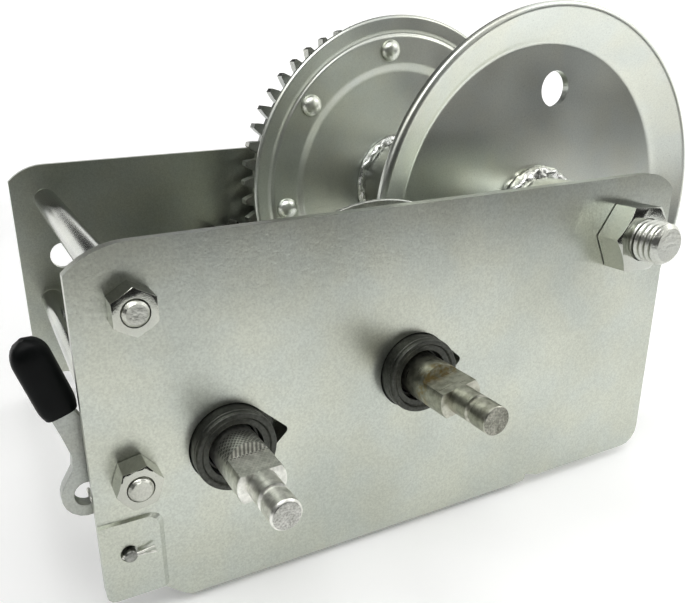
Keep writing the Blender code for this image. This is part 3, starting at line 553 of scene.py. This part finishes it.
def build_camera():
    """The camera, in the place and at the angle given above."""
    data = bpy.data.cameras.new("camera")
    data.lens = CAMERA_LENS
    data.sensor_width = 36.0
    data.sensor_fit = "HORIZONTAL"
    data.shift_x = CAMERA_SHIFT
    data.clip_start = 0.01
    camera = bpy.data.objects.new("camera", data)
    turn = (
        Matrix.Rotation(math.radians(-CAMERA_AZIMUTH), 4, "Z")
        @ Matrix.Rotation(math.radians(90 - CAMERA_ELEVATION), 4, "X")
        @ Matrix.Rotation(math.radians(CAMERA_ROLL), 4, "Z")
    )
    camera.matrix_world = Matrix.Translation(Vector(CAMERA_PLACE) * MM) @ turn
    bpy.context.scene.collection.objects.link(camera)
    bpy.context.scene.camera = camera


def build_light(name, place_m, target_m, size, watts):
    """A soft box aimed at a target, both in metres."""
    data = bpy.data.lights.new(name, "AREA")
    data.shape = "RECTANGLE"
    data.size, data.size_y = size
    data.energy = watts
    light = bpy.data.objects.new(name, data)
    light.location = place_m
    aim = Vector(target_m) - Vector(place_m)
    light.rotation_euler = aim.to_track_quat("-Z", "Y").to_euler()
    bpy.context.scene.collection.objects.link(light)


def flat_board(name, corner_low, corner_high, colour, glow=0.0):
    """A flat board of the studio between two opposite corners, lit from within by glow."""
    low, high = Vector(corner_low), Vector(corner_high)
    if low.z == high.z:
        corners = [low, (high.x, low.y, low.z), high, (low.x, high.y, low.z)]
    else:
        corners = [low, (high.x, high.y, low.z), high, (low.x, low.y, high.z)]
    mesh = bpy.data.meshes.new(name)
    mesh.from_pydata([tuple(corner) for corner in corners], [], [(0, 1, 2, 3)])
    board = bpy.data.objects.new(name, mesh)
    bpy.context.scene.collection.objects.link(board)
    material, tree, shader = new_material(name)
    spread = ramp(tree, noise_at(tree, 6), [(0.3, colour * 0.97), (0.7, colour)])
    tree.links.new(spread, shader.inputs["Base Color"])
    shader.inputs["Roughness"].default_value = 0.9
    shader.inputs["Specular IOR Level"].default_value = 0.05
    shader.inputs["Emission Color"].default_value = (1.0, 1.0, 1.0, 1.0)
    shader.inputs["Emission Strength"].default_value = glow
    mesh.materials.append(material)
    return board


def build_studio():
    """A pale floor in a white room, dark boards for the metal to reflect, and soft boxes."""
    reach = FLOOR_REACH
    flat_board("floor", (-reach, -reach, 0), (reach, reach, 0), FLOOR_SHADE, glow=FLOOR_GLOW)
    for name, low, high in BOARDS:
        board = flat_board(name, low, high, BOARD_SHADE)
        board.visible_camera = False
        board.visible_shadow = False
    world = bpy.data.worlds.new("studio")
    world.use_nodes = True
    background = world.node_tree.nodes["Background"]
    background.inputs["Color"].default_value = ROOM_COLOUR
    background.inputs["Strength"].default_value = ROOM_STRENGTH
    bpy.context.scene.world = world
    bpy.context.scene.view_settings.view_transform = "Standard"
    for name, place_m, size, watts in LIGHTS:
        build_light(name, place_m, STUDIO_CENTRE, size, watts)


def threaded_shape(centre, radius, pitch, tip, thread_end, seat, chamfer):
    """A bolt's shank: a chamfered threaded end, then a plain shank to the seat of its head."""
    around = 48
    step = pitch / 8
    count = int((thread_end - tip) / step)
    depth = pitch * 0.3
    shape = bmesh.new()
    rings = []
    for row in range(count + 1):
        y = tip + step * row
        limit = radius - depth - chamfer + (y - tip) * 1.1
        fade = min(1.0, (thread_end - y) / (2 * pitch))
        ring = []
        for k in range(around):
            angle = 2 * math.pi * k / around
            phase = y / pitch - k / around
            wave = 0.5 + 0.5 * math.cos(2 * math.pi * phase)
            r = min(radius - depth * fade * wave ** 0.7, max(limit, radius * 0.55))
            x = centre[0] + r * math.cos(angle)
            z = centre[1] + r * math.sin(angle)
            ring.append(shape.verts.new((x, y, z)))
        rings.append(ring)
    last = []
    for k in range(around):
        angle = 2 * math.pi * k / around
        x = centre[0] + radius * math.cos(angle)
        last.append(shape.verts.new((x, seat, centre[1] + radius * math.sin(angle))))
    rings.append(last)
    join_rings(shape, rings)
    return shape


def hexagon_head(shape, centre, flats, near, far, turn):
    """Adds a bolt's hexagon head to a shape."""
    rings = []
    for y, shrink in ((near, 0.0), (far - 0.0006, 0.0), (far, 0.0009)):
        radius = flats / math.sqrt(3) - shrink
        ring = []
        for k in range(6):
            angle = turn + HALF_TURN * k / 3
            x = centre[0] + radius * math.cos(angle)
            ring.append(shape.verts.new((x, y, centre[1] + radius * math.sin(angle))))
        rings.append(ring)
    join_rings(shape, rings)


def build_bolts(materials):
    """Threaded bolts in the CAD bolts' places."""
    specs = (
        ("upper_tie_bolt", TIE_RADIUS, TIE_PITCH, TIE_FLATS, TIE_HEAD, 30.8),
        ("lower_tie_bolt", TIE_RADIUS, TIE_PITCH, TIE_FLATS, TIE_HEAD, 10.0),
        ("reel_axle_bolt", AXLE_RADIUS, AXLE_PITCH, AXLE_FLATS, AXLE_HEAD, -4.8),
    )
    for node, radius, pitch, flats, head, turn in specs:
        low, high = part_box(node)
        centre = ((low[0] + high[0]) / 2, (low[2] + high[2]) / 2)
        seat = high[1] - head * MM
        shape = threaded_shape(
            centre, radius * MM, pitch * MM, low[1], low[1] + THREAD_LENGTH * MM, seat,
            radius * TIP_CHAMFER * MM,
        )
        hexagon_head(shape, centre, flats * MM, seat, high[1], math.radians(turn))
        put(f"{node}_threaded", shape, materials["bolt"], "frame", [node], crease=32)


def build_flanges(materials):
    """The two pressed flanges, smooth and with rolled edges."""
    centre, near, far, radius = axis_of("front_flange")
    bore = (HUB_RADIUS + CLEARANCE) * MM
    disc = near + FRONT_DISC_DROP * MM
    sheet = FLANGE_SHEET * MM
    inner = FRONT_DISC_RADIUS * MM
    front = [
        (disc, bore),
        (disc, HOLE_RING[0] * MM),
        (disc, HOLE_RING[1] * MM),
        (disc, inner),
        (disc - 1.6 * MM, inner + 2.0 * MM),
        (near + 1.4 * MM, radius - 4.6 * MM),
        (near, radius - 2.2 * MM),
        (near + 0.7 * MM, radius),
        (near + 4.2 * MM, radius),
        (disc + 1.4 * MM, inner + 4.4 * MM),
        (disc + sheet, inner + 1.0 * MM),
        (disc + sheet, HOLE_RING[1] * MM),
        (disc + sheet, HOLE_RING[0] * MM),
        (disc + sheet, bore),
    ]
    shape = turned(centre, rounded(front, 1.6 * MM, 5), TURNED_STEPS, hollow=True)
    piece = put(
        "front_flange_pressed", shape, materials["reel"], "reel", ["front_flange"]
    )
    x, z, hole = STRAP_HOLE
    hole_centre = (centre[0] + x * MM, centre[1] + z * MM)
    cutter = turned(hole_centre, [(near, hole * MM), (far + 5 * MM, hole * MM)], 48)
    cut(piece, cutter)
    piece.data.shade_smooth()
    sharpen(piece.data, 35)
    centre, near, far, radius = axis_of("back_flange")
    step = BACK_STEP * MM
    back = [
        (near + step, bore),
        (near + step, BACK_DISC * MM),
        (near, BACK_RING[0] * MM),
        (near, BACK_RING[1] * MM),
        (near + 0.8 * MM, 81.4 * MM),
        (near + 0.2 * MM, 83.2 * MM),
        (near, radius - 1.2 * MM),
        (near + 0.9 * MM, radius),
        (far - 0.9 * MM, radius),
        (far, radius - 0.8 * MM),
        (far, bore),
    ]
    shape = turned(centre, rounded(back, 1.2 * MM, 5), TURNED_STEPS, hollow=True)
    # The back flange takes the darker copy of the reel's zinc: painted shade
    put(
        "back_flange_pressed", shape, materials["back_reel"], "reel", ["back_flange"],
    )


def build_welds(materials):
    """Lumpy weld beads with the ripples of overlapping puddles."""
    for number, node in enumerate(("front_outer_weld", "front_inner_weld", "back_inner_weld")):
        centre, near, far, radius = axis_of(node)
        outward = -1 if node != "front_inner_weld" else 1
        root = far if outward < 0 else near
        tube = HUB_RADIUS * MM if node == "front_outer_weld" else DRUM_RADIUS * MM
        leg = far - near
        profile = []
        for step in range(WELD_STEPS + 1):
            t = step / WELD_STEPS
            bulge = 1 + WELD_BULGE * math.sin(HALF_TURN * t)
            y = root + outward * leg * math.sin(QUARTER_TURN * t) * bulge * 0.92
            r = tube + (radius - tube) * math.cos(QUARTER_TURN * t) * bulge * 0.94
            profile.append((y, r))
        profile.append((root, tube - 0.2 * MM))

        def lumps(angle, step, seed=number * 7.0):
            if step in (0, WELD_STEPS + 1):
                return (0.0, 0.0)
            spot = Vector((math.cos(angle) * 9, math.sin(angle) * 9, seed + step * 0.5))
            ripple = math.sin(angle * 26 + step * 0.35 + 5 * noise.noise(spot * 0.4)) * 0.13
            lump = noise.noise(spot * 0.55) * 1.1 + noise.noise(spot * 1.9) * 0.35
            height = (ripple + lump) * MM
            return (outward * height * 0.6, height * 0.7)

        shape = turned(centre, profile, 240, hollow=True, wobble=lumps)
        put(f"{node}_bead", shape, materials["weld"], "reel", [node], crease=70)


def build_rivets(materials):
    """Rivets with a domed head in front and an upset tail behind."""
    for number in range(1, 9):
        node = f"gear_rivet_{number}"
        centre, near, far, radius = axis_of(node)
        head = RIVET_HEAD * MM
        dome = []
        for degrees in RIVET_DOME:
            angle = math.radians(degrees)
            dome.append((near + head * (1 - math.sin(angle)), radius * math.cos(angle)))
        foot = [(near + head, radius), (near + head + 0.3 * MM, radius)]
        shank_radius = RIVET_SHANK * MM
        shank = [(near + head + 0.4 * MM, shank_radius), (far - 2.4 * MM, shank_radius)]
        tail = [
            (far - 2.3 * MM, 4.4 * MM), (far - 1.2 * MM, 3.8 * MM), (far - 0.2 * MM, 2.0 * MM),
            (far, 0.8 * MM),
        ]
        shape = turned(centre, dome + foot + shank + tail, 40)
        put(f"{node}_domed", shape, materials["reel"], "reel", [node])


def flat_cutter(centre, shoulder, turn_by):
    """A box that mills one drive flat on a shaft, from its shoulder to the ledge."""
    cutter = bmesh.new()
    bmesh.ops.create_cube(cutter, size=1.0)
    width, height, overrun = 0.03, 0.01, 0.0001
    length = (SHOULDER - LEDGE) * MM + overrun
    bmesh.ops.scale(cutter, vec=(width, length, height), verts=cutter.verts)
    lift = FLAT_OFFSET * MM + height / 2
    middle = shoulder - overrun + length / 2
    bmesh.ops.translate(cutter, vec=(0, middle, lift), verts=cutter.verts)
    turn = Matrix.Rotation(-turn_by, 4, "Y")
    bmesh.ops.transform(cutter, matrix=turn, verts=cutter.verts)
    bmesh.ops.translate(cutter, vec=(centre[0], 0, centre[1]), verts=cutter.verts)
    return cutter


def build_shaft(node, body, flat_turn, tip_chamfer, material):
    """A crankshaft with a double-D drive end and a grooved pin."""
    low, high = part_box(node)
    frame_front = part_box("frame_channel")[0][1] + PAD_RISE * MM
    centre = ((low[0] + high[0]) / 2, (low[2] + high[2]) / 2)
    radius = (high[0] - low[0]) / 2
    shoulder = frame_front - SHOULDER * MM
    groove = frame_front - GROOVE * MM
    half = GROOVE_WIDTH / 2 * MM
    pin = PIN_RADIUS * MM
    neck = pin - 0.8 * MM
    chamfer = tip_chamfer * MM
    ring_start, ring_end, ring_depth = RING_GROOVE
    profile = [
        (low[1], pin - chamfer),
        (low[1] + chamfer * 0.3, pin - chamfer * 0.6),
        (low[1] + chamfer, pin),
        (groove - half, pin),
        (groove - half * 0.6, neck + 0.1 * MM),
        (groove, neck),
        (groove + half * 0.6, neck + 0.1 * MM),
        (groove + half, pin),
        (shoulder, pin),
        (shoulder, radius - SHOULDER_ROUND * MM),
        (shoulder + 0.15 * MM, radius - 0.15 * MM),
        (shoulder + SHOULDER_ROUND * MM, radius),
        (high[1] - ring_start * MM, radius),
        (high[1] - ring_start * MM, radius - ring_depth * MM),
        (high[1] - ring_end * MM, radius - ring_depth * MM),
        (high[1] - ring_end * MM, radius),
        (high[1] - 0.6 * MM, radius),
        (high[1], radius - 0.6 * MM),
    ]
    shape = turned(centre, profile, 96)
    piece = put(f"{node}_turned", shape, material, body, [node], crease=28)
    for side in (0, HALF_TURN):
        cut(piece, flat_cutter(centre, shoulder, flat_turn + side))
    piece.data.shade_smooth()
    sharpen(piece.data, 28)


def build_bushings(materials):
    """Front bushings with a lipped, counterbored nose, and plain back ones."""
    outer = BUSHING_RADIUS * MM
    bore = BUSHING_BORE * MM
    mouth = BUSHING_MOUTH * MM
    for name in ("high_shaft", "low_shaft"):
        node = f"{name}_front_bushing"
        centre, near, far, collar = axis_of(node)
        loop = [
            (near + 0.9 * MM, mouth),
            (near + 0.9 * MM, 11.2 * MM),
            (near, 11.7 * MM),
            (near, outer - 0.4 * MM),
            (near + 0.8 * MM, outer),
            (near + 1.9 * MM, outer),
            (near + 2.1 * MM, outer - 0.3 * MM),
            (near + 2.3 * MM, outer),
            (far - 2.2 * MM, outer),
            (far - 2.2 * MM, collar),
            (far, collar),
            (far, bore),
            (near + BUSHING_MOUTH_DEPTH * MM, bore),
            (near + BUSHING_MOUTH_DEPTH * MM, mouth),
        ]
        shape = turned(centre, rounded(loop, 0.3 * MM, 3), 96, hollow=True)
        put(f"{node}_turned", shape, materials["dark"], "frame", [node])
        node = f"{name}_back_bushing"
        centre, near, far, collar = axis_of(node)
        loop = [
            (near, bore), (near, collar), (near + 1.6 * MM, collar), (near + 1.6 * MM, outer),
            (far, outer), (far, bore),
        ]
        shape = turned(centre, rounded(loop, 0.4 * MM, 3), 72, hollow=True)
        put(f"{node}_turned", shape, materials["dark"], "frame", [node])


def build_grip(material):
    """The dipped vinyl grip, rounded all over."""
    low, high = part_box("lever_grip")
    along = Vector((math.cos(GRIP_LEAN), 0, math.sin(GRIP_LEAN)))
    across = Vector((-along.z, 0, along.x))
    depth_half = (high[1] - low[1]) / 2
    middle_y = (low[1] + high[1]) / 2
    foot = Vector((GRIP_FOOT[0] * MM, middle_y, GRIP_FOOT[1] * MM))
    length, half = GRIP_LENGTH * MM, GRIP_HALF * MM
    shape = bmesh.new()
    rings = []
    around, steps = 40, 24
    for step in range(steps + 1):
        t = step / steps
        if t < 0.15:
            scale = 0.86 + 0.14 * math.sin(QUARTER_TURN * t / 0.15)
        elif t > 0.74:
            scale = math.sqrt(max(0.0, 1 - ((t - 0.74) / 0.262) ** 2))
        else:
            scale = 1.0
        centre = foot + along * length * t
        ring = []
        for k in range(around):
            angle = 2 * math.pi * k / around
            c, s = math.cos(angle), math.sin(angle)
            side = math.copysign(abs(c) ** GRIP_SQUARENESS, c) * half * scale
            thick = math.copysign(abs(s) ** GRIP_SQUARENESS, s) * depth_half
            thick *= 0.25 + 0.75 * scale
            ring.append(shape.verts.new(centre + across * side + Vector((0, thick, 0))))
        rings.append(ring)
    join_rings(shape, rings)
    put("lever_grip_dipped", shape, material, "pawl", ["lever_grip"], crease=60)


def wire(name, path, radius, material, body, replaced):
    """A round wire along a smooth path, as a mesh. With no body, it is left unattached and the
    caller bakes its transform.
    """
    curve = bpy.data.curves.new(name, "CURVE")
    curve.dimensions = "3D"
    curve.bevel_depth = radius
    curve.bevel_resolution = 3
    curve.use_fill_caps = True
    curve.resolution_u = 4
    spline = curve.splines.new("POLY")
    spline.points.add(len(path) - 1)
    for point, place_m in zip(spline.points, path):
        point.co = (*place_m, 1.0)
    drawn = bpy.data.objects.new(f"{name}_path", curve)
    bpy.context.scene.collection.objects.link(drawn)
    graph = bpy.context.evaluated_depsgraph_get()
    mesh = bpy.data.meshes.new_from_object(drawn.evaluated_get(graph))
    bpy.data.objects.remove(drawn)
    mesh.materials.append(material)
    mesh.shade_smooth()
    piece = bpy.data.objects.new(name, mesh)
    bpy.context.scene.collection.objects.link(piece)
    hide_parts(*replaced)
    if body:
        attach(piece, body)
    return piece


def build_spring(materials):
    """The pawl's coil spring, which stretches from its anchor pin to the lever."""
    low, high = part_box("spring_anchor_pin")
    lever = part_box("pawl_lever")
    middle = (lever[0][1] + lever[1][1]) / 2
    anchor = Vector(((low[0] + high[0]) / 2, middle, (low[2] + high[2]) / 2))
    eye = Vector((SPRING_EYE[0] * MM, middle, SPRING_EYE[1] * MM))
    along = (eye - anchor).normalized()
    toward = Vector((0, 1, 0))
    across = along.cross(toward)
    path = []
    for step in range(17):
        angle = math.radians(-30 + 13 * step)
        spoke = across * math.cos(angle) + along * math.sin(angle)
        path.append(anchor - spoke * (HOOK_RADIUS * MM))
    each = 20
    for step in range(SPRING_TURNS * each + 1):
        angle = 2 * math.pi * step / each
        reach = 0.0044 + 0.0062 * step / (SPRING_TURNS * each)
        spoke = across * math.cos(angle) - toward * math.sin(angle)
        path.append(anchor + along * reach + spoke * (SPRING_COIL * MM))
    front = toward * -0.0034
    path += [
        anchor + along * 0.0116 + front,
        eye + front - along * 0.003,
        eye + front * 0.8 - along * 0.0018,
        eye - along * 0.0016,
        eye - front * 0.8 - along * 0.0018,
        eye - front - along * 0.004,
    ]
    spring = wire(
        "pawl_spring_coiled", path, SPRING_WIRE * MM, materials["steel"], None,
        ["pawl_spring"],
    )
    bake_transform(spring)


def build_cotter(materials):
    """The anchor pin's cotter, two legs spread from a folded end."""
    low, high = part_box("anchor_cotter")
    y = (low[1] + high[1]) / 2
    z = high[2] - 0.0005
    legs = [
        (high[0], y - 0.0003, z + 0.0012),
        (low[0] + 0.0055, y, z + 0.0002),
        (low[0] + 0.0006, y, z + 0.0003),
        (low[0] + 0.0001, y, z),
        (low[0] + 0.0006, y, z - 0.0003),
        (low[0] + 0.0055, y, z - 0.0004),
        (high[0] + 0.0004, y + 0.0003, z - 0.0012),
    ]
    wire(
        "anchor_cotter_pin", legs, COTTER_WIRE * MM, materials["steel"], "frame",
        ["anchor_cotter"],
    )


def dress_cad(nodes, materials):
    """Gives each CAD node that stays in view its finish and rounded edges."""
    finishes = {
        "frame_channel": ("plate", 1.1),
        "upper_tie_nut": ("nut", 0.25),
        "lower_tie_nut": ("nut", 0.25),
        "reel_axle_nut": ("nut", 0.35),
        # The anchor pin gets the darkened pin steel: painted shade
        "spring_anchor_pin": ("pin", 0.2),
        "reel_gear": ("gear", 0.45),
        "high_pinion": ("dark", 0.2),
        "middle_gear": ("gear", 0.3),
        "low_pinion": ("dark", 0.2),
        "ratchet_wheel": ("dark", 0.3),
        "high_shaft_ring": ("dark", 0.1),
        "low_shaft_ring": ("dark", 0.1),
        "pawl_lever": ("lever", 0.5),
    }
    for name, (finish, width) in finishes.items():
        node = nodes[name]
        for k in range(len(node.material_slots)):
            node.material_slots[k].material = materials[finish]
        weld = node.modifiers.new("weld", "WELD")
        weld.merge_threshold = 1e-6
        soften(node, width)
        node.modifiers["edges"].harden_normals = False
        smooth = node.modifiers.new("normals", "WEIGHTED_NORMAL")
        smooth.keep_sharp = False
        for polygon in node.data.polygons:
            polygon.use_smooth = True


def build_tubes(materials):
    """Every plain tube: spacers, hub, drum, bushes and the middle gear's shroud and hub."""
    specs = (
        ("upper_tie_tube", 4.3, "nut", "frame", "zinc_plate"),
        ("lower_tie_tube", 4.3, "nut", "frame", "zinc_plate"),
        ("reel_axle_sleeve", BUSHING_BORE, "gear", "frame", "zinc_plate"),
        ("reel_hub", HUB_BORE, "reel", "reel", "zinc_plate"),
        ("drum_tube", HUB_RADIUS + CLEARANCE, "drum", "reel", "zinc_plate"),
        ("front_reel_bush", 11.3, "dark", "reel", "dark_steel"),
        ("back_reel_bush", 11.3, "dark", "reel", "dark_steel"),
        ("middle_gear_shroud", BUSHING_BORE, "gear", "high_shaft", "zinc_plate"),
        ("middle_gear_hub", BUSHING_BORE, "dark", "high_shaft", "dark_steel"),
    )
    for node, bore, finish, body, slot_name in specs:
        tube_piece(node, bore, materials[finish], body)


def main():
    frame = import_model()
    build_camera()
    build_studio()
    materials = make_materials()
    dress_cad(frame["nodes"], materials)
    build_tubes(materials)
    build_bolts(materials)
    build_flanges(materials)
    build_welds(materials)
    build_rivets(materials)
    build_bushings(materials)
    build_shaft(
        "high_speed_shaft", "high_shaft", HIGH_FLAT_TURN, 0.35, materials["stained"]
    )
    build_shaft("low_speed_shaft", "low_shaft", LOW_FLAT_TURN, 0.8, materials["steel"])
    build_grip(materials["vinyl"])
    build_spring(materials)
    build_cotter(materials)


main()
